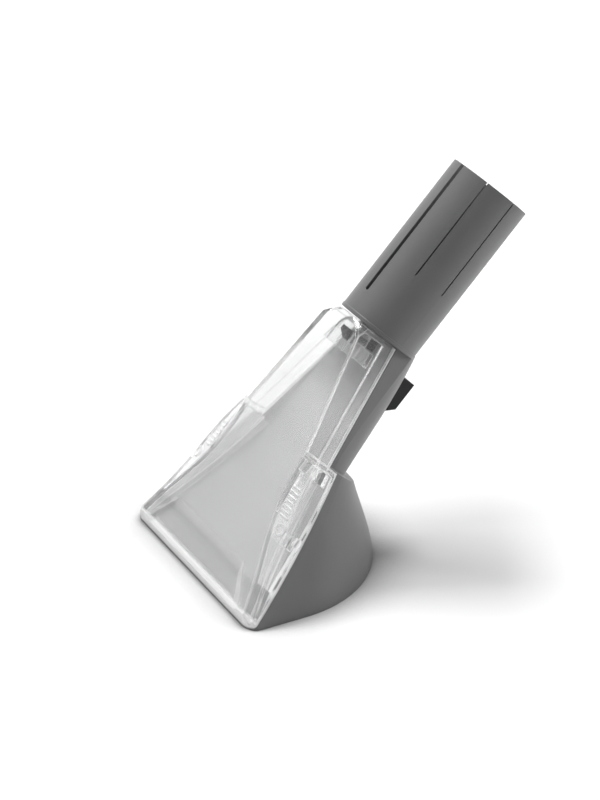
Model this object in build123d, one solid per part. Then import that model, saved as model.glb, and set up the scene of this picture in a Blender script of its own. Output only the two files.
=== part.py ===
"""Spray extraction upholstery nozzle, standing on its mouth with its tube leaning back.

The grey body is one moulding: a slotted tube, a neck and a bell shaped spray hood.
A clear cover makes the suction duct in front of it. The cover tucks in at the mouth,
clips on with a tongue at each side, and is held at the top by a black release latch.

Frame: millimetres, +Z up, X across the mouth, +Y to the rear. The origin is the middle
of the front lip on the floor. Along the nozzle a second set of directions is used:
s runs up the tube axis, n stands square to it towards the front.
"""
import os
from math import atan, cos, degrees, radians, sin

from build123d import *

os.makedirs("parts", exist_ok=True)

# Overall stance and tube
LEAN = 46.0               # tube axis above the floor, degrees
TUBE_OD = 36.0
TUBE_BORE = 32.0
TUBE_END = 197.0          # s of the open end
COLLAR_OD = 36.5
COLLAR_S = 123.2          # s of the collar's lower face
COLLAR_LENGTH = 1.6
SOCKET_LENGTH = 60.0      # length of the bore that takes the suction tube
RELIEF = 0.6              # how much wider the bore is below that
WEB = 2.4                 # wall that closes the rear half of the bore
KEYWAY_WIDTH = 1.9
KEYWAY_LENGTH = 62.0
SLIT_WIDTH = 0.55
SLIT_LENGTH = 46.0
SLIT_COUNT = 8            # places round the tube, the keyway takes the front one

# Body
WALL = 2.2
PARTING = -1.3            # n of the flat that the cover seats on
NECK_HALF_TOP = 14.2      # half width of that flat under the collar
NECK_TAPER = 0.2407       # half width gained per millimetre down the neck
SHOULDER_S = 70.0         # s of the hood's shoulder
SHOULDER_HALF = 33.0
SHOULDER_REAR = -28.0     # n of the shoulder's rear
SHOULDER_ROUND = 3.0
MOUTH_HALF = 52.0
MOUTH_REAR = 76.5         # Y of the hood's rear on the floor
WAIST_HALF = 43.0         # half width half way down the hood
WAIST_S = 41.0
WAIST_REAR = 75.6
LIP_CORNER = 7.0

# Suction duct
SUNK = 5.5                # depth of the sunk plate below n = 0
SUNK_TOP = 100.0          # the plate slopes down to its depth from here
SUNK_RAMP = 34.0
DUCT_TOP_S = 71.0
DUCT_HALF_TOP = 24.6      # half width of the sunk plate at the shoulder
DUCT_KNEE_S = 60.5
DUCT_KNEE_HALF = 27.6
DUCT_MOUTH_S = 7.0
DUCT_MOUTH_HALF = 49.4
FIT = 0.2                 # clearance between cover and body walls

# Cover
COVER_WALL = 2.0
COVER_TOP_GAP = 0.8       # dark gap under the collar
FRONT_RISE = 3.27         # n of the front face at s = 0
FRONT_SLOPE = 0.1267      # front face rise per millimetre of s
BAND_HEIGHT = 5.0         # n of the rim band's top on the neck
BAND_STEP = 1.0
FRONT_HALF_TOP = 12.3
FRONT_HALF_SHOULDER = 25.2
MOUTH_STEP = 1.0          # how far the zone above the lip is set back
# s, then how far the crease and the front edge lie inside the rim, and the crease's n
COVER_STATIONS = (
    (69.5, 2.0, 7.7, 8.0),
    (56.0, 3.2, 12.2, 7.3),
    (42.0, 4.5, 13.5, 5.7),
    (26.0, 5.1, 10.7, 3.8),
    (10.0, 2.6, 6.7, 1.4),
    (-6.0, 0.8, 2.7, -0.3),
)
BEAD = 0.55               # bead along the crease
TOP_BAND = 1.8            # band round the cover's top end
CROWN_RADIUS = 19.2       # the front corners of that end come in to this radius
CROWN_SLOPE = 0.6
END_BAND = 1.3            # raised arch where the skirt ends at the shoulder
END_RISE = 0.5
PAD_RIBS = 7
PAD_RIB_PITCH = 2.0
PAD_RIB_HEIGHT = 0.35
RIB_LOW = 43.6
BOSS_S = 38.8
POCKET_S = 64.6           # windows at the top of each side tongue
POCKET_HALF = 2.5

# Release latch
LATCH_HALF = 7.0
LATCH_TOP = 115.0
LATCH_BOTTOM = 99.5
LATCH_OUT = -27.0         # n of the button's outer face
LATCH_IN = -18.5          # n of the button's inner face
LATCH_PLAY = 0.3
PIVOT_S = 110.0
PIVOT_N = -12.5
LEVER_HALF = 4.6
EAR = 2.2
PIN_D = 2.5
PIN_PLAY = 0.06
FINGER_HALF = 2.4
FINGER_LOW = 115.3
NOSE_LOW = 113.2
NOSE_HIGH = 117.8
NOSE_REAR = 8.3
NOSE_FRONT = 13.4
SHELF = 1.8
SHELF_GAP = 0.5
SHELF_EDGE = 114.9
CATCH_OUTER = 6.9
CATCH_WALL = 1.3
CATCH_TOP = 12.8
GRIP_RIBS = 4
SPRING_S = 103.5
SPRING_WIRE = 0.5
SPRING_RADIUS = 2.0
SPRING_TURNS = 6
SPRING_TRAVEL = 1.0       # room over the spring for the button's travel

# Water side
SPIGOT_X = 9.8
SPIGOT_N = -7.0
SPIGOT_D = 4.4
SPIGOT_BORE = 1.6
SPIGOT_FLANGE = 4.9
SPIGOT_REACH = 8.0        # stub above the web
BARB_LENGTH = 8.0
O_RING = 0.9
HOSE_OD = 4.6
HOSE_BORE = 2.6
HOSE_BEND_S = 92.0
CLIP_WIDTH = 2.4
CLIP_WALL = 0.5
JET_Y = 50.0
HOLDER_TOP = 35.0
HOLDER_HEIGHT = 5.0
HOLDER_HALF = 15.5
HOLDER_FRONT = 45.0
HOLDER_REAR = 56.0
SCREW_X = 12.0
SCREW_D = 2.1
SCREW_HEAD = 4.4
SCREW_DEPTH = 5.5
STUB_D = 9.0
STUB_LENGTH = 8.0
STUB_BORE = 5.0
JET_D = 8.4
JET_NOSE = 5.4
NUT_FLATS = 13.0
NUT_FLOOR = 1.8
CLEAR = 0.1               # clearance between the small water parts

# Seal strips between cover and body
SEAL_WIDTH = 1.2
SEAL_DEPTH = 0.9
SEAL_INSET = 1.2
SEAL_LOW = 76.0
SEAL_HIGH = 120.0

COS, SIN = cos(radians(LEAN)), sin(radians(LEAN))
s_at_floor = -PARTING * COS / SIN
FACE = Plane(origin=(0, 0, 0), x_dir=(1, 0, 0), z_dir=(0, -SIN, COS))
BIG = 400.0


def station(s):
    """Plane square to the tube axis at s, its local y is n."""
    return Plane(origin=(0, s * COS, s * SIN), x_dir=(1, 0, 0), z_dir=(0, -COS, -SIN))


def spot(x, s, n):
    """Point of the nozzle's own directions, in the frame."""
    return Vector(x, s * COS - n * SIN, s * SIN + n * COS)


def front_n(s):
    """Height of the cover's flat front face."""
    return FRONT_RISE + FRONT_SLOPE * s


def neck_half(s):
    return NECK_HALF_TOP + NECK_TAPER * (COLLAR_S + 1.3 - s)


def duct_half(s):
    """Half width of the sunk plate."""
    if s > DUCT_KNEE_S:
        share = (DUCT_TOP_S - s) / (DUCT_TOP_S - DUCT_KNEE_S)
        return DUCT_HALF_TOP + (DUCT_KNEE_HALF - DUCT_HALF_TOP) * share
    share = (DUCT_KNEE_S - s) / (DUCT_KNEE_S - DUCT_MOUTH_S)
    return DUCT_KNEE_HALF + (DUCT_MOUTH_HALF - DUCT_KNEE_HALF) * share


def rim_half(s):
    """Half width of the hood's front edge, a parabola through its three sections."""
    low, middle, high = ((s_at_floor, MOUTH_HALF), (WAIST_S, WAIST_HALF), (SHOULDER_S, SHOULDER_HALF))
    first = (middle[1] - high[1]) / (middle[0] - high[0])
    second = (low[1] - middle[1]) / (low[0] - middle[0])
    curve = (second - first) / (low[0] - high[0])
    return high[1] + first * (s - high[0]) + curve * (s - high[0]) * (s - middle[0])


def cover_row(s):
    """Cover section at s: s, rim, crease, crease height and front edge, between stations."""
    rows = sorted(COVER_STATIONS)
    s_in = min(max(s, rows[0][0]), rows[-1][0])
    for low, high in zip(rows, rows[1:]):
        if s_in <= high[0]:
            share = (s_in - low[0]) / (high[0] - low[0])
            crease, front, height = (a + (b - a) * share for a, b in zip(low[1:], high[1:]))
            return s, rim_half(s), rim_half(s) - crease, height, rim_half(s) - front


def dee(plane, half, front, rear, side):
    """Section with a flat front, short straight sides and an arched rear."""
    flat = Polyline((-half, front - side), (-half, front), (half, front), (half, front - side))
    arch = ThreePointArc((half, front - side), (0, rear), (-half, front - side))
    return plane * make_face(flat + arch)


def mirrored(points, plane):
    """Face from the right half of an outline, listed from the bottom up."""
    left = [(-x, y) for x, y in reversed(points)]
    return plane * make_face(Polyline(*points, *left, close=True))


def slab(low, high, half=BIG / 2, s_low=-60.0, s_high=260.0):
    """Block between two n heights."""
    middle = (s_low + s_high) / 2
    block = Box(2 * half, s_high - s_low, high - low)
    return FACE * Pos(0, middle, (low + high) / 2) * block


def along(s_low, s_high, n_low, n_high, half, x=0.0):
    """Block set square to the nozzle's own directions."""
    block = Box(2 * half, s_high - s_low, n_high - n_low)
    return FACE * Pos(x, (s_low + s_high) / 2, (n_low + n_high) / 2) * block


def rod(s, n, x_low, x_high, radius):
    """Round bar across the nozzle."""
    bar = Rot(0, 90, 0) * Cylinder(radius, x_high - x_low)
    return Pos(*spot((x_low + x_high) / 2, s, n)) * bar


above_floor = Pos(0, 0, BIG / 2) * Box(BIG, 2 * BIG, BIG)
plan = RectangleRounded(2 * (MOUTH_HALF + 0.4), BIG, LIP_CORNER)
plan_prism = Pos(0, BIG / 2, -10) * extrude(plan, BIG)

# Grey body. The neck is a loft along the tube axis, the hood a loft through a fan of
# planes that turns from the shoulder down to the floor.
PIVOT_Y = SHOULDER_S / COS
FAN = 90.0 - LEAN


def fan(angle):
    a = radians(angle)
    return Plane(origin=(0, PIVOT_Y, 0), x_dir=(1, 0, 0), z_dir=(0, -sin(a), -cos(a)))


def fan_front(angle, n):
    """Distance from the fan's pivot to the plane at height n."""
    return (PIVOT_Y * SIN + n) / sin(radians(angle + LEAN))


def neck_loft(inset, s_low, s_high):
    sections = []
    stops = ((64.0, -24.0, 2.0), (86.0, -23.2, 3.0), (104.0, -22.2, 6.0), (COLLAR_S + 1.3, -18.9, 9.5))
    for s, rear, side in stops:
        s = min(max(s, s_low), s_high)
        front = PARTING - inset
        sections.append(dee(station(s), neck_half(s) - inset, front, rear + inset, side))
    return loft(sections)


def hood_loft(inset):
    lower = WAIST_REAR - inset
    middle = FAN / 2
    top = FAN - 2.6 * (inset > 0)
    rear_top = Vector(0, SHOULDER_S * COS - SHOULDER_REAR * SIN, SHOULDER_S * SIN + SHOULDER_REAR * COS)
    rear_top_radius = (rear_top - Vector(0, PIVOT_Y, 0)).length
    front = PARTING - inset
    sides = (MOUTH_HALF - inset, WAIST_HALF - inset, SHOULDER_HALF - inset)
    rears = (
        PIVOT_Y - MOUTH_REAR + inset,
        (PIVOT_Y - lower) / cos(radians(middle)),
        rear_top_radius + inset,
    )
    straights = (
        fan_front(0, front) - rears[0] - sides[0],
        fan_front(middle, front) - rears[1] - sides[1],
        3.0,
    )
    return loft([
        dee(fan(angle), half, fan_front(angle, front), rear, side)
        for angle, half, rear, side in zip((0.0, middle, top), sides, rears, straights)
    ])


outer_neck = neck_loft(0.0, 0.0, 300.0)
outer_hood = hood_loft(0.0)
body = outer_neck + outer_hood

tube_base = COLLAR_S + WEB / 2
tube = extrude(station(TUBE_END) * Circle(TUBE_OD / 2), TUBE_END - tube_base)
collar = extrude(station(COLLAR_S + COLLAR_LENGTH) * Circle(COLLAR_OD / 2), COLLAR_LENGTH)
body = body + collar + tube

# Sunk plate in front of the hood, with a ramp at its top end
duct_outline = [
    (DUCT_MOUTH_HALF, -20.0), (DUCT_MOUTH_HALF, DUCT_MOUTH_S),
    (DUCT_KNEE_HALF, DUCT_KNEE_S), (DUCT_HALF_TOP, DUCT_TOP_S),
    (neck_half(SUNK_TOP) - COVER_WALL - 3 * FIT, SUNK_TOP),
]


def duct_prism(grow, bottom):
    """Plate recess, grown sideways for the wall behind it."""
    half = [(x + grow, s + (grow if s == SUNK_TOP else 0)) for x, s in duct_outline]
    prism = extrude(FACE.offset(bottom) * mirrored(half, Plane.XY), 20.0)
    profile = Polyline(
        (-40, bottom), (SUNK_TOP - SUNK_RAMP + grow, bottom),
        (SUNK_TOP + grow, PARTING - grow), (SUNK_TOP + grow, 30), (-40, 30), close=True)
    side = Plane(origin=(0, 0, 0), x_dir=(0, COS, SIN), z_dir=(1, 0, 0))
    ramp = extrude(side * make_face(profile), BIG / 2, both=True)
    return prism & ramp


cavity = neck_loft(WALL, 60.0, COLLAR_S - WEB / 2) + hood_loft(WALL)
cavity = cavity - duct_prism(WALL, -SUNK - WALL)
body = body - cavity - duct_prism(0.0, -SUNK)

# Tube bore. It ends on a web, which has a window of the duct's section at the front.
web_low, web_high = COLLAR_S - WEB / 2, COLLAR_S + WEB / 2 + 0.1
bore = extrude(station(TUBE_END + 1) * Circle(TUBE_BORE / 2), TUBE_END + 1 - web_high)
socket_low = TUBE_END - SOCKET_LENGTH
relief = extrude(station(socket_low) * Circle(TUBE_BORE / 2 + RELIEF), socket_low - web_high)
body = body - bore - relief

top_s = COLLAR_S - COVER_TOP_GAP
web_window = mirrored([
    (neck_half(top_s) - FIT - COVER_WALL, PARTING),
    (neck_half(top_s) - FIT - COVER_WALL - 0.4, BAND_HEIGHT),
    (FRONT_HALF_TOP - 0.8 * COVER_WALL, front_n(top_s) - COVER_WALL),
], station(web_high + 1))
web_window = extrude(web_window, WEB + 4) & extrude(station(150) * Circle(TUBE_BORE / 2 - RELIEF), 40)
body = body - web_window

# Keyway and slits that let the tube's end give
for place in range(SLIT_COUNT):
    key = place == 0
    width = KEYWAY_WIDTH if key else SLIT_WIDTH
    length = KEYWAY_LENGTH if key else SLIT_LENGTH
    cut = Pos(0, 0, -length / 2) * Box(width, TUBE_OD, length + 1) + Pos(0, 0, -length) * (
        Rot(90, 0, 0) * Cylinder(width / 2, TUBE_OD))
    cut = Pos(0, TUBE_OD / 2 + 4, 0) * cut & Box(BIG, 2 * TUBE_OD, BIG)
    up = Plane(origin=spot(0, TUBE_END, 0), x_dir=(1, 0, 0), z_dir=(0, COS, SIN))
    body = body - up * Rot(0, 0, 180 + place * 360 / SLIT_COUNT) * cut

# Latch window in the neck's rear, finger slot in the plate, and two ears whose seats
# are open to the rear, so the lever snaps in with its pin
plate_back = PARTING - WALL
ear_in = LEVER_HALF + LATCH_PLAY
window = along(LATCH_BOTTOM - 1.6, LATCH_TOP + 0.8, -40, -14, LATCH_HALF + LATCH_PLAY)
finger_slot = along(FINGER_LOW - 0.4, NOSE_HIGH + 1.6, -6, 4, FINGER_HALF + 0.4)
for side in (-1, 1):
    ear = along(PIVOT_S - 4, PIVOT_S + 4, PIVOT_N - 3.5, plate_back + 1, EAR / 2,
                side * (ear_in + EAR / 2))
    throat = along(PIVOT_S - 0.42 * PIN_D, PIVOT_S + 0.42 * PIN_D, PIVOT_N - 5, PIVOT_N, EAR,
                   side * (ear_in + EAR / 2))
    body = body + (ear - throat)
pin_hole = rod(PIVOT_S, PIVOT_N, -ear_in - EAR - 1, ear_in + EAR + 1, PIN_D / 2 + PIN_PLAY / 2)
spring_post = FACE * Pos(0, SPRING_S, plate_back - 1) * Cylinder(SPRING_RADIUS - SPRING_WIRE, 4)
body = body - window - finger_slot - pin_hole + spring_post

# Hole in the web for the water spigot
axis_turn = Rot(LEAN - 90, 0, 0)


def on_axis(s, n, x=0.0):
    """Places a solid built along Z on a line parallel to the tube axis."""
    return Pos(*spot(x, s, n)) * axis_turn


body = body - on_axis(COLLAR_S, SPIGOT_N, SPIGOT_X) * Cylinder(SPIGOT_D / 2 + CLEAR / 2, 12)

# Bosses in the hood for the jet holder
for side in (-1, 1):
    boss = Pos(side * SCREW_X, JET_Y, HOLDER_TOP + 20) * Cylinder(SCREW_D * 1.45, 40)
    body = body + (boss & cavity)
    body = body - Pos(side * SCREW_X, JET_Y, HOLDER_TOP + 3) * Cylinder(SCREW_D / 2 + CLEAR / 2, 6)


def seal_strip(play):
    """Straight strip under each long edge of the cover's neck."""
    strips = []
    for side in (-1, 1):
        middle = (SEAL_LOW + SEAL_HIGH) / 2
        x = neck_half(middle) - FIT - SEAL_INSET
        turn = Rot(0, 0, side * NECK_TURN)
        strip = Box(SEAL_WIDTH + 2 * play, SEAL_HIGH - SEAL_LOW + 2 * play, SEAL_DEPTH)
        strips.append(FACE * Pos(side * x, middle, PARTING - SEAL_DEPTH / 2) * turn * strip)
    return strips


NECK_TURN = degrees(atan(NECK_TAPER))
for strip in seal_strip(0.05):
    body = body - strip
gasket = Compound(seal_strip(0.0))

body = body & above_floor & plan_prism

# Clear cover
def neck_section(s, inset):
    rim = neck_half(s) - FIT
    share = (top_s - s) / (top_s - SHOULDER_S)
    front = FRONT_HALF_TOP + (FRONT_HALF_SHOULDER - FRONT_HALF_TOP) * share
    if inset:
        points = [(rim - inset, PARTING - 1), (rim - inset - 0.4, BAND_HEIGHT),
                  (front - 0.8 * inset, front_n(s) - inset)]
    else:
        points = [(rim, PARTING), (rim, BAND_HEIGHT), (rim - BAND_STEP, BAND_HEIGHT + 0.6),
                  (front, front_n(s))]
    return mirrored(points, station(s))


def skirt_section(row):
    s, rim, crease, crease_n, front = row
    return mirrored([
        (rim, PARTING), (crease + BEAD, crease_n - 1.4 * BEAD), (crease + BEAD, crease_n + 0.5 * BEAD),
        (crease - 1.2 * BEAD, crease_n + 1.2 * BEAD), (crease - 2 * BEAD, crease_n + 0.4 * BEAD),
        (front, front_n(s)),
    ], station(s))


def duct_section(row):
    s, _, _, _, front = row
    half = duct_half(s) - FIT - COVER_WALL
    return mirrored([(half, -SUNK - 1), (front - 0.8 * COVER_WALL, front_n(s) - COVER_WALL)],
                    station(s))


def pocket_section(row, side):
    """Hollow between the duct wall and the outer skirt."""
    s, rim, band, band_n, front = row
    foot = duct_half(s) - FIT
    share = (-PARTING + SUNK) / (front_n(s) + SUNK)
    foot = foot + (front - foot) * (SUNK + PARTING) / (front_n(s) + SUNK)
    points = [(foot, PARTING - 1), (front + 0.4, front_n(s) - 1.1 * COVER_WALL),
              (band - COVER_WALL, band_n - 0.8 * COVER_WALL), (rim - COVER_WALL, PARTING - 1)]
    return station(s) * make_face(Polyline(*[(side * x, n) for x, n in points], close=True))


cover = loft([neck_section(top_s, 0), neck_section(SHOULDER_S - 2, 0)], ruled=True)
rows = [cover_row(row[0]) for row in COVER_STATIONS]
cover = cover + loft([skirt_section(row) for row in rows])
foot_top = SUNK_TOP - SUNK_RAMP - 2 * FIT
foot_half = [(x - FIT, s) for x, s in duct_outline[:3]] + [(duct_half(foot_top) - FIT, foot_top)]
feet = extrude(FACE.offset(-SUNK + 0.3) * mirrored(foot_half, Plane.XY), SUNK - 0.3)
cover = cover + feet

duct_air = loft([neck_section(top_s + 2, COVER_WALL), neck_section(SHOULDER_S - 3, COVER_WALL)], ruled=True)
lower_air = loft([duct_section(cover_row(s)) for s in (DUCT_TOP_S, 56.0, 42.0, 26.0, 10.0, -6.0)])
duct_air = duct_air + lower_air
duct_air = duct_air & Pos(0, COVER_WALL + BIG / 2, 0) * Box(BIG, BIG, 2 * BIG)


def crown_cut(radius):
    """All that lies outside a cone round the tube axis at the cover's top end."""
    reach = 20.0
    cone = Pos(0, 0, top_s - reach / 2 + 1) * Cone(
        radius + CROWN_SLOPE * reach, radius - CROWN_SLOPE * 2, reach + 2)
    ring = Pos(0, 0, top_s - reach / 2 + 1) * Cylinder(60, reach + 2) - cone
    return Rot(LEAN - 90, 0, 0) * ring


duct_air = duct_air - crown_cut(CROWN_RADIUS - COVER_WALL)


def mouth_zone(lift):
    """Set back zone above the lip, with bevelled edges."""
    tilt = LEAN + 7.22
    base = Plane(origin=spot(0, 0, FRONT_RISE + lift), x_dir=(1, 0, 0),
                 z_dir=(0, -sin(radians(tilt)), cos(radians(tilt))))
    low = mirrored([(50.0, -14.0), (28.6, 14.8)], base.offset(-MOUTH_STEP))
    high = mirrored([(62.0, -14.0), (25.0 + 4.0, 24.8)], base.offset(1.0))
    return loft([low, high], ruled=True)


duct_air = duct_air - mouth_zone(-COVER_WALL)
pockets = [loft([pocket_section(cover_row(s), side) for s in (66.8, 56.0, 42.0, 26.0, 17.0)])
           for side in (-1, 1)]
cover = cover - duct_air - mouth_zone(0.0) - pockets[0] - pockets[1]

# Band round the top end
band_low = top_s - TOP_BAND
band_bits = [mirrored([
    (neck_half(s) - FIT, PARTING), (neck_half(s) - FIT, BAND_HEIGHT + 0.6),
    (FRONT_HALF_TOP + BAND_STEP, front_n(s)),
], station(s)) for s in (top_s, band_low)]
cover = cover + (loft(band_bits, ruled=True) - duct_air)

# Raised arch where the skirt ends
def end_section(s):
    _, rim, crease, crease_n, front = cover_row(s)
    return mirrored([
        (rim - 0.1, PARTING), (rim + 0.1, 2.0), (crease + 0.8 * END_RISE, crease_n - 1.2),
        (crease - 0.6, crease_n + END_RISE), (0.5 * (crease + front), 0.5 * (crease_n + front_n(s)) + END_RISE),
        (front, front_n(s)),
    ], station(s))


end_high = COVER_STATIONS[0][0]
end_arch = loft([end_section(end_high), end_section(end_high - END_BAND)], ruled=True)
cover = cover + (end_arch - duct_air - pockets[0] - pockets[1])


def on_pad(s, share):
    """Place on a tongue's face, at a share of its width from the crease, turned square to it."""
    _, _, crease, crease_n, front = cover_row(s)
    tilt = degrees(atan((front_n(s) - crease_n) / (crease - front)))
    x = crease + (front - crease) * share
    n = crease_n + (front_n(s) - crease_n) * share
    return [FACE * Pos(side * x, s, n) * Rot(0, side * tilt, 0) for side in (-1, 1)]


# Clip tongue on each side: windows at its root, long slit, ribs, round boss, notch, hook
boss = Cylinder(2.6, 1.3) - Pos(0, 0, 1.0) * Cylinder(1.6, 1.6)
rib_bar = Box(4.4, 0.9, 2 * PAD_RIB_HEIGHT)
for at_root, at_boss in zip(on_pad(POCKET_S, 0.62), on_pad(BOSS_S, 0.4)):
    cover = cover - at_root * Box(3.4, 2 * POCKET_HALF, 5.0)
    cover = cover + at_boss * boss
for rib in range(PAD_RIBS):
    for at_rib in on_pad(RIB_LOW + rib * PAD_RIB_PITCH, 0.5):
        cover = cover + at_rib * rib_bar
for side in (-1, 1):
    rim = rim_half(POCKET_S)
    window_side = along(POCKET_S - POCKET_HALF, POCKET_S + POCKET_HALF, 1.6, 6.4, 2.6, side * (rim - 1.6))
    slit = FACE * Pos(side * (rim_half(53) - 10.6), 52.5, 9.0) * (Rot(0, 0, side * 5.0) * Box(0.8, 18, 6))
    notch = along(34.6, 40.0, 1.2, 12, 2.0, side * (rim_half(37) - 3.6))
    hook = along(37.0, 40.6, -1.0, 2.0, 0.8, side * (rim_half(39) - 1.6))
    cover = cover - window_side - slit - notch + hook

# Catch for the latch nose: a bar across the duct that carries an arched wall
shelf_top = NOSE_REAR - SHELF_GAP
catch_s = top_s - CATCH_OUTER - 0.1
catch_low = shelf_top - SHELF
catch_deep = CATCH_TOP - catch_low


def catch_form(radius):
    """Upright plate with a round top end, the outline of the catch's wall."""
    form = along(109.0, catch_s, catch_low, catch_low + catch_deep, radius)
    return form + FACE * Pos(0, catch_s, catch_low + catch_deep / 2) * Cylinder(radius, catch_deep)


shelf = along(109.0, SHELF_EDGE, catch_low, shelf_top, TUBE_OD / 2)
catch = catch_form(CATCH_OUTER) - along(100, catch_s, 0, 30, CATCH_OUTER - CATCH_WALL)
catch = catch - FACE * Pos(0, catch_s, 15) * Cylinder(CATCH_OUTER - CATCH_WALL, 30) + shelf
cover_shell = loft([neck_section(top_s, 0), neck_section(SHOULDER_S - 2, 0)], ruled=True)
cover = cover + (catch & cover_shell)
cover = (cover & above_floor & plan_prism) - crown_cut(CROWN_RADIUS)

# Release latch: button, lever between the ears, and a finger that ends in the nose
SIDE = Plane(origin=(0, 0, 0), x_dir=(0, COS, SIN), z_dir=(1, 0, 0))


def side_plate(points, half):
    """Profile in s and n, of one thickness to both sides of the middle."""
    return extrude(SIDE * make_face(Polyline(*points, close=True)), half, both=True)


button = side_plate([
    (LATCH_BOTTOM, LATCH_IN), (LATCH_BOTTOM, -23.0), (LATCH_BOTTOM + 3.0, LATCH_OUT),
    (LATCH_TOP, LATCH_OUT), (LATCH_TOP, LATCH_IN),
], LATCH_HALF)
for rib in range(GRIP_RIBS):
    s = LATCH_BOTTOM + 5.0 + 2.4 * rib
    button = button + along(s, s + 0.9, LATCH_OUT - 0.4, LATCH_OUT + 1, LATCH_HALF - 1.0)
lever = side_plate([
    (PIVOT_S - 2.5, LATCH_IN - 1), (PIVOT_S - 2.5, PIVOT_N), (PIVOT_S + 3.0, PIVOT_N + 1.0),
    (PIVOT_S + 4.0, PIVOT_N - 2.0), (PIVOT_S + 4.0, LATCH_IN - 1),
], LEVER_HALF)
lever = lever + rod(PIVOT_S, PIVOT_N, -LEVER_HALF, LEVER_HALF, PIN_D / 2 + 1.6)
finger = side_plate([
    (PIVOT_S, PIVOT_N - 1), (PIVOT_S + 3, PIVOT_N + 1.8), (FINGER_LOW, PIVOT_N + 4.5),
    (FINGER_LOW, NOSE_REAR), (NOSE_LOW, NOSE_REAR), (NOSE_LOW, NOSE_REAR + 1.3),
    (NOSE_HIGH - 2.0, NOSE_FRONT), (NOSE_HIGH, NOSE_FRONT), (NOSE_HIGH, PIVOT_N + 2.5),
    (PIVOT_S + 4, PIVOT_N - 3),
], FINGER_HALF)
spring_seat = FACE * Pos(0, SPRING_S, LATCH_IN) * Cylinder(SPRING_RADIUS + 1.4, 3.6)
latch = button + lever + finger - spring_seat - rod(PIVOT_S, PIVOT_N, -9, 9, PIN_D / 2 + 0.01)
pin = rod(PIVOT_S, PIVOT_N, -ear_in - EAR + 0.2, ear_in + EAR - 0.2, PIN_D / 2)

# Return spring between the plate and the button
spring_top = plate_back - 0.05
spring_end = LATCH_IN - 1.8 + SPRING_TRAVEL
spring_length = spring_top - spring_end - SPRING_WIRE
helix = Helix(spring_length / SPRING_TURNS, spring_length, SPRING_RADIUS)
wire = Plane(origin=helix @ 0, z_dir=helix % 0) * RegularPolygon(SPRING_WIRE / 2, 6)
spring = Pos(0, 0, -spring_length / 2) * sweep(wire, path=helix, is_frenet=True)
spring = FACE * Pos(0, SPRING_S, (spring_top + spring_end) / 2) * spring

# Water spigot in the web, with its ring
barb_r = HOSE_BORE / 2 - 0.02
flange_low = web_low - 1.3
spigot = Pos(0, 0, web_low - CLEAR - 0.6) * Cylinder(SPIGOT_FLANGE / 2, 1.2)
spigot_bits = (
    (SPIGOT_D / 2, web_low - 1.0, web_high + SPIGOT_REACH),
    (barb_r, flange_low - BARB_LENGTH, web_low - 1.0),
)
for radius, low, high in spigot_bits:
    spigot = spigot + Pos(0, 0, (low + high) / 2) * Cylinder(radius, high - low)
ring_s = web_high + SPIGOT_REACH * 0.6
groove = Pos(0, 0, ring_s) * (Cylinder(SPIGOT_D, O_RING + CLEAR) - Cylinder(
    SPIGOT_D / 2 - O_RING * 0.5, O_RING + CLEAR))
spigot = spigot - groove - Pos(0, 0, web_low) * Cylinder(SPIGOT_BORE / 2, 60)
spigot = Pos(*spot(SPIGOT_X, 0, SPIGOT_N)) * axis_turn * spigot
ring_r = SPIGOT_D / 2 - O_RING * 0.5 + O_RING / 2 + 0.02
o_ring = Pos(*spot(SPIGOT_X, 0, SPIGOT_N)) * axis_turn * (
    Pos(0, 0, ring_s) * Torus(ring_r, O_RING / 2))

# Jet holder: block, stub for the nut, slanted barb for the hose
bend = spot(SPIGOT_X, HOSE_BEND_S, SPIGOT_N)
inlet = Vector(0, JET_Y + 2, HOLDER_TOP)
toward = (bend - inlet).normalized()
inlet_plane = Plane(origin=inlet, z_dir=toward)
block_y = (HOLDER_FRONT + HOLDER_REAR) / 2
block_z = HOLDER_TOP - HOLDER_HEIGHT / 2
outline = RectangleRounded(2 * HOLDER_HALF, HOLDER_REAR - HOLDER_FRONT, 3.0)
holder = Pos(0, block_y, HOLDER_TOP - HOLDER_HEIGHT) * extrude(outline, HOLDER_HEIGHT)
stub_low = HOLDER_TOP - HOLDER_HEIGHT - STUB_LENGTH
holder = holder + Pos(0, JET_Y, stub_low + STUB_LENGTH / 2) * Cylinder(STUB_D / 2, STUB_LENGTH)
root = inlet_plane * Pos(0, 0, 0.6) * Cylinder(HOSE_OD / 2 + 0.3, 4.0)
barb = inlet_plane * Pos(0, 0, 2.6 + BARB_LENGTH / 2) * Cylinder(barb_r, BARB_LENGTH)
holder = holder + root + barb
holder = holder - inlet_plane * Pos(0, 0, 5) * Cylinder(SPIGOT_BORE / 2, 15)
well_high = HOLDER_TOP - 2.0
holder = holder - Pos(0, JET_Y, (stub_low + well_high) / 2) * Cylinder(
    STUB_BORE / 2, well_high - stub_low)
screws = []
for side in (-1, 1):
    holder = holder - Pos(side * SCREW_X, JET_Y, block_z) * Cylinder(SCREW_D / 2 + 0.2, 20)
    low = HOLDER_TOP - HOLDER_HEIGHT
    head = Pos(0, 0, low - 0.9) * Cylinder(SCREW_HEAD / 2, 1.8)
    head = head - Pos(0, 0, low - 1.8) * (Box(3.0, 0.6, 1.4) + Box(0.6, 3.0, 1.4))
    shank = Pos(0, 0, (low + HOLDER_TOP + SCREW_DEPTH) / 2 - 0.1) * Cylinder(
        SCREW_D / 2, HOLDER_HEIGHT + SCREW_DEPTH + 0.2)
    screws.append(Pos(side * SCREW_X, JET_Y, 0) * (head + shank))
screws = Compound(screws)

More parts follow.
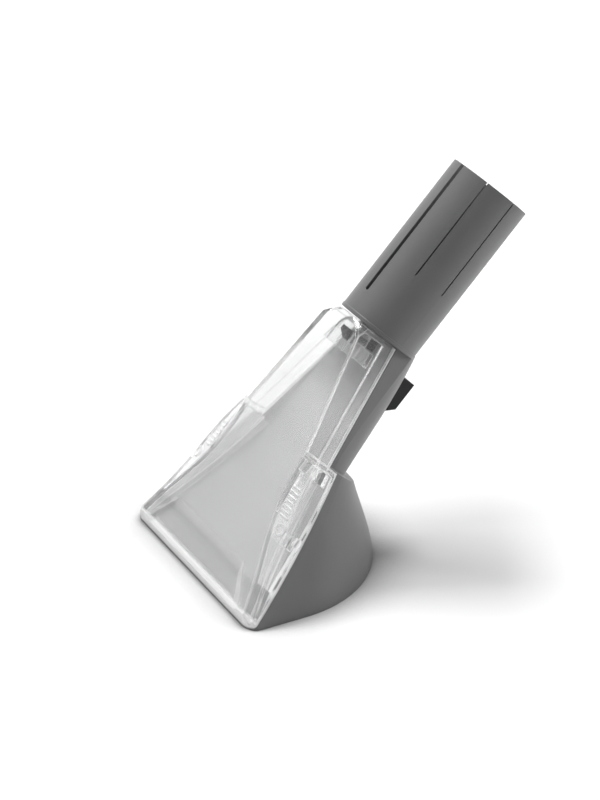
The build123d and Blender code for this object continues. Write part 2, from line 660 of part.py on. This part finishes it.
# Stack under the stub: strainer, washer, jet, all held by the nut
strainer_flange, washer_height, jet_flange, jet_reach = 0.8, 1.0, 1.2, 3.0
z = stub_low
strainer = Pos(0, 0, z - strainer_flange / 2) * Cylinder(JET_D / 2, strainer_flange)
strainer = strainer + Pos(0, 0, z + 3.0) * Cylinder(STUB_BORE / 2 - 0.3, 6.0)
strainer = strainer - Pos(0, 0, z + 1.6) * Cylinder(STUB_BORE / 2 - 0.9, 7.0)
for turn in range(6):
    for row in range(3):
        port = Rot(0, 0, 30 + 60 * turn) * Pos(2, 0, z + 1.3 + 1.5 * row) * Box(3.0, 0.7, 0.8)
        strainer = strainer - port
z -= strainer_flange
washer = Pos(0, 0, z - washer_height / 2) * (
    Cylinder(JET_D / 2, washer_height) - Cylinder(1.9, washer_height))
z -= washer_height
jet = Pos(0, 0, z - jet_flange / 2) * Cylinder(JET_D / 2, jet_flange)
jet = jet + Pos(0, 0, z - jet_flange - jet_reach / 2) * Cylinder(JET_NOSE / 2, jet_reach)
jet_tip = z - jet_flange - jet_reach
jet = jet - Pos(0, 0, z) * Cylinder(1.2, 7.0)
jet = jet - Pos(0, 0, jet_tip) * Box(JET_NOSE + 1, 0.8, 2.0)
nut_top = stub_low + 4.6
floor_top = z - jet_flange
nut = extrude(Pos(0, 0, floor_top - NUT_FLOOR) * RegularPolygon(
    NUT_FLATS / 2, 6, major_radius=False), nut_top - floor_top + NUT_FLOOR)
nut = nut - Pos(0, 0, (floor_top + nut_top) / 2) * Cylinder(
    STUB_D / 2 + CLEAR, nut_top - floor_top)
nut = nut - Pos(0, 0, floor_top) * Cylinder(JET_NOSE / 2 + CLEAR, 3 * NUT_FLOOR)
at_jet = Pos(0, JET_Y, 0)

# Feed hose: two straight runs and one arc, with a spring band at each end
hose_start = spot(SPIGOT_X, flange_low - 0.2, SPIGOT_N)
hose_end = inlet + toward * 2.9
run_in, run_out = (bend - hose_start).length, (hose_end - bend).length
turn = radians((bend - hose_start).get_angle(hose_end - bend))
hose_radius = 0.45 * min(run_in, run_out) / (sin(turn / 2) / cos(turn / 2))
print("hose bend radius", round(hose_radius, 1))
route = FilletPolyline(hose_start, bend, hose_end, radius=hose_radius)
ends = Plane(origin=hose_start, z_dir=(bend - hose_start).normalized())
hose = sweep(ends * (Circle(HOSE_OD / 2) - Circle(HOSE_BORE / 2)), path=route)
clip = Cylinder(HOSE_OD / 2 + 0.02 + CLIP_WALL, CLIP_WIDTH) - Cylinder(HOSE_OD / 2 + 0.02, CLIP_WIDTH)
clips = Compound([
    Pos(*spot(SPIGOT_X, flange_low - 3.5, SPIGOT_N)) * axis_turn * clip,
    inlet_plane * Pos(0, 0, 2.9 + 3.0) * clip,
])

pieces = {
    "nozzle_body": body,
    "clear_cover": cover,
    "cover_gasket": gasket,
    "release_latch": latch,
    "latch_pin": pin,
    "latch_spring": spring,
    "water_spigot": spigot,
    "spigot_o_ring": o_ring,
    "feed_hose": hose,
    "hose_clips": clips,
    "jet_holder": holder,
    "holder_screws": screws,
    "spray_jet": at_jet * jet,
    "jet_nut": at_jet * nut,
    "jet_strainer": at_jet * strainer,
    "jet_washer": at_jet * washer,
}
for name, piece in pieces.items():
    export_step(piece, f"parts/{name}.step")
    print(name, piece.is_valid, len(piece.solids()), round(piece.volume, 1))
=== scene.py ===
"""Looks of the upholstery nozzle: materials, a pale studio and the photograph's camera."""
from math import cos, radians, sin

import bpy
from mathutils import Matrix, Vector

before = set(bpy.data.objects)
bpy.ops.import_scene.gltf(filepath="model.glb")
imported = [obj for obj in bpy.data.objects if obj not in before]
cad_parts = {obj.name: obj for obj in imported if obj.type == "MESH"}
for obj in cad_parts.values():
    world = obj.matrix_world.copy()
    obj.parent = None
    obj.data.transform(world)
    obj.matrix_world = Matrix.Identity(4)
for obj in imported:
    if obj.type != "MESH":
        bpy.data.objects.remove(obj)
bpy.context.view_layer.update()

# Camera, as fitted to the photograph
AZIMUTH, ELEVATION = radians(61.906), radians(28.686)
DISTANCE = 1.2492
SIDE_SHIFT, UP_SHIFT = 0.04439, 0.06961
FOCAL_PIXELS, IMAGE_HEIGHT, SENSOR = 3084.1, 800, 36.0
NEAREST, FARTHEST = 0.05, 20

# Direction of the leaning tube, and the one square to the cover's seat
LEAN = radians(46.0)
TUBE_AXIS = (0.0, cos(LEAN), sin(LEAN))
FACE_NORMAL = (0.0, -sin(LEAN), cos(LEAN))

# Tones, linear
GREY = (0.170, 0.170, 0.172)
FLOOR = (0.80, 0.80, 0.80)
COVER_SHADOW = (0.80, 0.80, 0.80)

# Moulded surfaces: noise scales, and depth of the grain in metres
CLOUD_SCALE, FLOW_SCALE, GRAIN_SCALE = 38, 9, 2600
GRAIN_DEPTH = 0.00002
MOTTLE = 0.06
EDGE_WEAR = 0.55

# A softened normal this close to the plain one, as a cosine, is away from the edges
OFF_EDGE = 0.985

# Metal: scale, stretch and depth of its lines
LINE_SCALE, LINE_STRETCH, LINE_DEPTH = 900, (1, 1, 12), 0.00002

# Clear cover: noise scales, depth of its waves and reach of its edges in metres
WAVE_SCALE, HAZE_SCALE = 26, 420
WAVE_DEPTH, COVER_EDGE = 0.0001, 0.0006

# Places on the cover in metres: along the tube's axis from the lip, up from the floor, off the seat
AXIS_SPAN, FLOOR_SPAN = 0.125, 0.01
LIP = (0.0045, 0.0055)
# Mouth and band get painted shade, standing in for less light where the step faces down
BAND_BELOW, BAND_ABOVE = (0.0120, 0.0130), (0.0155, 0.01675)
NOSE_WINDOW = (0.0875, 0.1075)
# Painted shade along the lip's bottom edge, a dark contact line close to the floor
PAINTED_CONTACT_HEIGHTS = (0.0005, 0.0014)
SEAM_HEIGHT, SEAM_HALF = -0.0009, 0.0004

# How clear the cover is, from 0, milky, to 1
CLEAR_LIP, CLEAR_FACE, CLEAR_WINDOW = 0.10, 0.80, 0.99
# Milky edges and seam are painted highlights: pale lines where the rounded rims catch the light
CLEAR_EDGE_PAINTED_HIGHLIGHT, CLEAR_GLANCE, CLEAR_SEAM_PAINTED_HIGHLIGHT = 0.35, 0.40, 0.12

# How bright the cover is, as painted shade: dark contact line along the lip's bottom edge, mouth, band over
# it
PAINTED_CONTACT_SHADE, MOUTH_PAINTED_SHADE, BAND_PAINTED_SHADE = 0.22, 0.95, 0.88

# Floor and wall, metres
STAGE_HALF, WALL_AWAY, WALL_HEIGHT = 6.0, 3.0, 4.0
SWEEP, SWEEP_STEPS = 0.8, 10

# Reach of the shade close under the object, and the floor's glow at two distances, metres
CONTACT_REACH = 0.024
GLOW_SPAN = 5.0
GLOW_NEAR, GLOW_FAR = (0.6, 0.08), (2.5, 0.7)

# Strength of the world light on surfaces; the camera sees it at full strength
WORLD_LIGHT = 0.18

# Lamps: name, place, point aimed at, width and height, watts
LAMPS = (
    ("key", (-0.25, 0.12, 1.65), (0, 0.05, 0.05), (0.5, 0.5), 11.5),
    ("side", (-0.6, 0.35, 1.45), (0, 0.05, 0.05), (0.35, 0.35), 16.5),
    ("front", (-0.6, -1.2, 0.8), (0, 0.05, 0.05), (0.9, 0.7), 4),
    ("rim", (0.7, 1.3, 0.5), (0, 0.1, 0.12), (0.6, 0.6), 7),
)


def add_camera():
    right = Vector((cos(AZIMUTH), sin(AZIMUTH), 0))
    back = Vector((sin(AZIMUTH) * cos(ELEVATION), -cos(AZIMUTH) * cos(ELEVATION), sin(ELEVATION)))
    up = back.cross(right)
    spot = right * SIDE_SHIFT + up * UP_SHIFT + back * DISTANCE
    data = bpy.data.cameras.new("camera")
    data.sensor_fit = "AUTO"
    data.sensor_width = SENSOR
    data.lens = FOCAL_PIXELS * SENSOR / IMAGE_HEIGHT
    data.clip_start, data.clip_end = NEAREST, FARTHEST
    camera = bpy.data.objects.new("camera", data)
    camera.matrix_world = Matrix.Translation(spot) @ Matrix((right, up, back)).transposed().to_4x4()
    bpy.context.scene.collection.objects.link(camera)
    bpy.context.scene.camera = camera


def grey(level):
    return (level, level, level)


def scaled(tone, factor):
    return tuple(value * factor for value in tone)


def rgba(tone, factor=1.0):
    return (*scaled(tone, factor), 1)


class Nodes:
    """Small helper to write a node tree line by line."""

    def __init__(self, tree):
        self.tree = tree
        tree.nodes.clear()

    def add(self, kind, inputs=None, **settings):
        node = self.tree.nodes.new(kind)
        for key, value in settings.items():
            setattr(node, key, value)
        for key, value in (inputs or {}).items():
            self.feed(node.inputs[key], value)
        return node

    def feed(self, socket, value):
        if isinstance(value, bpy.types.NodeSocket):
            self.tree.links.new(value, socket)
        else:
            socket.default_value = value

    def ramp(self, value, stops):
        node = self.add("ShaderNodeValToRGB", {"Fac": value})
        elements = node.color_ramp.elements
        while len(elements) < len(stops):
            elements.new(0.5)
        for element, (position, tone) in zip(elements, stops):
            element.position = position
            element.color = rgba(grey(tone)) if isinstance(tone, float) else rgba(tone)
        return node.outputs["Color"]

    def profile(self, distance, span, stops):
        """Ramp over a distance: each stop is a place in metres, up to the span, and its tone."""
        share = self.math("MULTIPLY", distance, 1 / span)
        return self.ramp(share, [(place / span, tone) for place, tone in stops])

    def noise(self, place, scale, detail=3.0, rough=0.5):
        node = self.add("ShaderNodeTexNoise", {
            "Vector": place, "Scale": scale, "Detail": detail, "Roughness": rough})
        return node.outputs["Fac"]

    def math(self, operation, *values):
        return self.add("ShaderNodeMath", dict(enumerate(values)), operation=operation).outputs[0]

    def dot(self, a, b):
        return self.add("ShaderNodeVectorMath", {0: a, 1: b}, operation="DOT_PRODUCT").outputs["Value"]

    def mix_color(self, factor, a, b, blend="MIX"):
        node = self.add("ShaderNodeMix", data_type="RGBA", blend_type=blend)
        for key, value in (("Factor", factor), (6, a), (7, b)):
            self.feed(node.inputs[key], value)
        return node.outputs[2]

    def softened(self, radius, on_edge):
        """Normal that rounds the edges, and a value that rises from 0 to 1 towards them."""
        soft = self.add("ShaderNodeBevel", {"Radius": radius}, samples=6).outputs["Normal"]
        plain = self.add("ShaderNodeNewGeometry").outputs["Normal"]
        return soft, self.ramp(self.dot(soft, plain), [(on_edge, 1.0), (OFF_EDGE, 0.0)])

    def bump(self, height, strength, depth, normal=None):
        inputs = {"Strength": strength, "Distance": depth, "Height": height}
        if normal:
            inputs["Normal"] = normal
        return self.add("ShaderNodeBump", inputs).outputs["Normal"]

    def rays(self, *kinds):
        """1 for the named kinds of ray, 0 for the others."""
        path = self.add("ShaderNodeLightPath")
        seen = path.outputs[kinds[0]]
        for kind in kinds[1:]:
            seen = self.math("MAXIMUM", seen, path.outputs[kind])
        return seen

    def finish(self, shader):
        self.add("ShaderNodeOutputMaterial", {"Surface": shader.outputs[0]})


def new_material(name):
    material = bpy.data.materials.new(name)
    material.use_nodes = True
    nodes = Nodes(material.node_tree)
    place = nodes.add("ShaderNodeTexCoord").outputs["Object"]
    return material, nodes, place


def moulded(name, tone, rough=0.42, edge=0.0004, specular=0.5, worn=1.25):
    """Moulded plastic: faint cloudy tone, fine spark texture, softened and paler edges."""
    material, nodes, place = new_material(name)
    cloud = nodes.noise(place, CLOUD_SCALE, 4)
    flow = nodes.noise(place, FLOW_SCALE, 2)
    tones = nodes.ramp(nodes.math("MULTIPLY", nodes.math("ADD", cloud, flow), 0.5), [
        (0.35, scaled(tone, 1 - MOTTLE)), (0.65, scaled(tone, 1 + MOTTLE))])
    fine = nodes.noise(place, GRAIN_SCALE, 2, 0.6)
    broad = nodes.noise(place, GRAIN_SCALE / 6, 3, 0.5)
    grain = nodes.math("ADD", fine, nodes.math("MULTIPLY", broad, 0.6))
    soft, edges = nodes.softened(edge, 0.86)
    color = nodes.mix_color(nodes.math("MULTIPLY", edges, EDGE_WEAR), tones, rgba(tone, worn))
    nodes.finish(nodes.add("ShaderNodeBsdfPrincipled", {
        "Base Color": color, "IOR": 1.5, "Specular IOR Level": specular,
        "Roughness": nodes.ramp(cloud, [(0.3, rough - 0.05), (0.7, rough + 0.06)]),
        "Normal": nodes.bump(grain, 0.35, GRAIN_DEPTH, soft)}))
    return material


def cover_tone(nodes, place, flow, up_tube):
    """Almost colourless, with painted shade: a dark contact line along the lip's bottom edge, a faint shade
    over the mouth and a darker band above it.
    """
    tone = nodes.ramp(flow, [(0.3, (0.955, 0.958, 0.958)), (0.7, (0.985, 0.987, 0.987))])
    upward = nodes.add("ShaderNodeSeparateXYZ", {0: place}).outputs["Z"]
    # Painted shade: a dark contact line along the bottom edge, close to the floor
    lip_contact_shade = nodes.profile(upward, FLOOR_SPAN, [(PAINTED_CONTACT_HEIGHTS[0], PAINTED_CONTACT_SHADE), (PAINTED_CONTACT_HEIGHTS[1], 1.0)])
    # Painted shade: faint over the mouth, darker in the band where the step faces down
    mouth_painted_shade = nodes.profile(up_tube, AXIS_SPAN, [
        (LIP[0], 1.0), (LIP[1], MOUTH_PAINTED_SHADE),
        (BAND_BELOW[0], MOUTH_PAINTED_SHADE), (BAND_BELOW[1], BAND_PAINTED_SHADE),
        (BAND_ABOVE[0], BAND_PAINTED_SHADE), (BAND_ABOVE[1], 1.0)])
    for shade in (lip_contact_shade, mouth_painted_shade):
        tone = nodes.mix_color(1.0, tone, shade, "MULTIPLY")
    return tone


def cover_clearness(nodes, place, up_tube, edges):
    """Clear faces, clearest over the latch's nose; milky lip and glancing sides; milky edges and seam as
    painted highlights.
    """
    clearness = nodes.profile(up_tube, AXIS_SPAN, [
        (LIP[0], CLEAR_LIP), (LIP[1], CLEAR_FACE),
        (NOSE_WINDOW[0], CLEAR_FACE), (NOSE_WINDOW[1], CLEAR_WINDOW)])
    glance = nodes.add("ShaderNodeLayerWeight", {"Blend": 0.5}).outputs["Facing"]
    deep = nodes.ramp(glance, [(0.48, 0.0), (0.85, 1.0)])
    # Painted highlight: a milky line along the seat, where the cover's rim meets the body
    seam_highlight = nodes.math("COMPARE", nodes.dot(place, FACE_NORMAL), SEAM_HEIGHT, SEAM_HALF)
    # Milky edges and seam here are painted highlights
    for share, level in ((edges, CLEAR_EDGE_PAINTED_HIGHLIGHT), (deep, CLEAR_GLANCE), (seam_highlight, CLEAR_SEAM_PAINTED_HIGHLIGHT)):
        clearness = nodes.mix_color(share, clearness, rgba(grey(level)))
    return clearness


def clear_plastic(name):
    """Clear moulding with flow waves, a slight haze and softened edges, made milky as painted highlights.
    """
    material, nodes, place = new_material(name)
    flow = nodes.noise(place, WAVE_SCALE, 3, 0.45)
    haze = nodes.noise(place, HAZE_SCALE, 3, 0.55)
    up_tube = nodes.dot(place, TUBE_AXIS)
    soft, edges = nodes.softened(COVER_EDGE, 0.84)
    plastic = nodes.add("ShaderNodeBsdfPrincipled", {
        "Base Color": cover_tone(nodes, place, flow, up_tube), "IOR": 1.46,
        "Roughness": nodes.ramp(haze, [(0.3, 0.08), (0.7, 0.11)]),
        "Transmission Weight": cover_clearness(nodes, place, up_tube, edges),
        "Normal": nodes.bump(flow, 0.25, WAVE_DEPTH, soft)})
    through = nodes.add("ShaderNodeBsdfTransparent", {"Color": rgba(COVER_SHADOW)})
    nodes.finish(nodes.add("ShaderNodeMixShader", {
        0: nodes.rays("Is Shadow Ray"), 1: plastic.outputs[0], 2: through.outputs[0]}))
    return material


def metal(name, tone, rough=0.3):
    """Drawn or turned metal with fine lengthwise lines."""
    material, nodes, place = new_material(name)
    mapped = nodes.add("ShaderNodeMapping", {"Vector": place, "Scale": LINE_STRETCH}).outputs[0]
    lines = nodes.noise(mapped, LINE_SCALE, 3, 0.6)
    nodes.finish(nodes.add("ShaderNodeBsdfPrincipled", {
        "Base Color": nodes.ramp(lines, [(0.3, scaled(tone, 0.85)), (0.7, tone)]), "Metallic": 1.0,
        "Roughness": nodes.ramp(lines, [(0.3, rough - 0.08), (0.7, rough + 0.08)]),
        "Normal": nodes.bump(lines, 0.2, LINE_DEPTH)}))
    return material


def pale_stage(name):
    """Studio white: lit like paper, with painted shade close under the object, and a glow that grows far
    off.
    """
    material, nodes, place = new_material(name)
    tones = nodes.ramp(nodes.noise(place, 3, 2), [(0.3, scaled(FLOOR, 0.995)), (0.7, FLOOR)])
    # Painted shade: colour and glow darkened where the object is close, a contact shadow
    open_air = nodes.add("ShaderNodeAmbientOcclusion", {"Distance": CONTACT_REACH}, samples=8).outputs["AO"]
    floor_painted_shade = nodes.ramp(open_air, [(0.50, 0.30), (0.96, 1.0)])
    paper = nodes.add("ShaderNodeBsdfDiffuse", {"Color": nodes.mix_color(1.0, tones, floor_painted_shade, "MULTIPLY")})
    away = nodes.add("ShaderNodeVectorMath", {0: place}, operation="LENGTH").outputs["Value"]
    glow = nodes.profile(away, GLOW_SPAN, [GLOW_NEAR, GLOW_FAR])
    seen = nodes.rays("Is Camera Ray", "Is Glossy Ray", "Is Transmission Ray")
    light = nodes.add("ShaderNodeEmission", {
        "Color": floor_painted_shade, "Strength": nodes.math("MULTIPLY", seen, glow)})
    nodes.finish(nodes.add("ShaderNodeAddShader", {0: paper.outputs[0], 1: light.outputs[0]}))
    return material


def add_stage():
    """Floor that sweeps up into a wall far behind."""
    start = WALL_AWAY - SWEEP
    outline = [(-STAGE_HALF, 0.0), (start, 0.0)]
    for step in range(1, SWEEP_STEPS + 1):
        turn = radians(90 * step / SWEEP_STEPS)
        outline.append((start + SWEEP * sin(turn), SWEEP - SWEEP * cos(turn)))
    outline.append((WALL_AWAY, WALL_HEIGHT))
    vertices = [(side, along, height) for along, height in outline for side in (-STAGE_HALF, STAGE_HALF)]
    faces = [(2 * i, 2 * i + 1, 2 * i + 3, 2 * i + 2) for i in range(len(outline) - 1)]
    mesh = bpy.data.meshes.new("floor")
    mesh.from_pydata(vertices, [], faces)
    mesh.materials.append(pale_stage("studio_floor"))
    floor = bpy.data.objects.new("floor", mesh)
    floor.rotation_euler = (0, 0, AZIMUTH)
    bpy.context.scene.collection.objects.link(floor)


def add_lamp(name, spot, target, size, power):
    data = bpy.data.lights.new(name, "AREA")
    data.shape = "RECTANGLE"
    data.size, data.size_y = size
    data.energy = power
    lamp = bpy.data.objects.new(name, data)
    lamp.location = spot
    lamp.rotation_euler = (Vector(target) - Vector(spot)).to_track_quat("-Z", "Y").to_euler()
    bpy.context.scene.collection.objects.link(lamp)


def add_light():
    """The lamps, and a soft world light that looks white itself."""
    world = bpy.data.worlds.new("studio")
    bpy.context.scene.world = world
    world.use_nodes = True
    nodes = Nodes(world.node_tree)
    seen = nodes.rays("Is Camera Ray", "Is Transmission Ray")
    strength = nodes.math("ADD", WORLD_LIGHT, nodes.math("MULTIPLY", seen, 1 - WORLD_LIGHT))
    glow = nodes.add("ShaderNodeBackground", {"Color": (1, 1, 1, 1), "Strength": strength})
    nodes.add("ShaderNodeOutputWorld", {"Surface": glow.outputs[0]})
    for lamp in LAMPS:
        add_lamp(*lamp)


def dress():
    looks = {
        "nozzle_body": moulded("grey_moulding", GREY),
        "clear_cover": clear_plastic("clear_moulding"),
        "cover_gasket": moulded("soft_grey_seal", grey(0.25), 0.7, edge=0.0002),
        "release_latch": moulded("black_moulding", grey(0.006), 0.45, specular=0.3, worn=2.2),
        "latch_pin": metal("pin_steel", grey(0.55)),
        "latch_spring": metal("spring_steel", grey(0.5), 0.35),
        "water_spigot": moulded("pale_moulding", grey(0.5), 0.4, edge=0.0002),
        "spigot_o_ring": moulded("ring_rubber", grey(0.02), 0.55, edge=0.0001),
        "feed_hose": moulded("hose_rubber", grey(0.035), 0.6, edge=0.0002),
        "hose_clips": metal("clip_steel", grey(0.6), 0.28),
        "jet_holder": moulded("holder_moulding", grey(0.45), edge=0.0003),
        "holder_screws": metal("screw_steel", grey(0.62)),
        "spray_jet": metal("jet_brass", (0.6, 0.52, 0.36)),
        "jet_nut": moulded("nut_moulding", grey(0.02), 0.4, edge=0.0003, worn=2.0),
        "jet_strainer": moulded("strainer_moulding", grey(0.5), 0.45, edge=0.0001),
        "jet_washer": moulded("washer_rubber", grey(0.03), 0.65, edge=0.0001),
    }
    for node, material in looks.items():
        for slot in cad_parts[node].material_slots:
            slot.material = material


add_camera()
add_stage()
add_light()
dress()

bpy.context.scene.view_settings.view_transform = "Standard"
